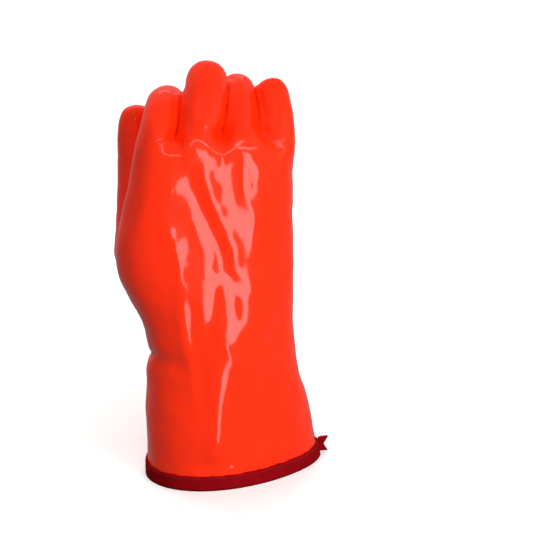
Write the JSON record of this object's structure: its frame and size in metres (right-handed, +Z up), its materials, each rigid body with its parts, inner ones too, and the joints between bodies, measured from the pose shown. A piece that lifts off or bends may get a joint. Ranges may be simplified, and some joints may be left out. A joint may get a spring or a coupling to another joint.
{
  "type": "pvc coated work glove",
  "caption": "Right-hand PVC coated gauntlet with curled fingers and a flared, tape-bound cuff; an open hollow shell that stands on its cuff.",
  "frame": {"origin": "on the floor, under the middle of the glove's box, where the bound rim of the cuff stands", "axes": "+Z up from the cuff to the fingertips; the back of the hand faces -Y and the palm +Y; the thumb is on the -X side and the little finger on the +X side"},
  "size_m": [0.1482, 0.1118, 0.2778],
  "materials": {
    "pvc_coat": "glossy fluorescent orange red PVC with a smooth dipped skin",
    "binding_tape": "matt dark red woven tape"
  },
  "bodies": {
    "root": {"glove_shell": "pvc_coat", "cuff_binding": "binding_tape"}
  },
  "joints": []
}
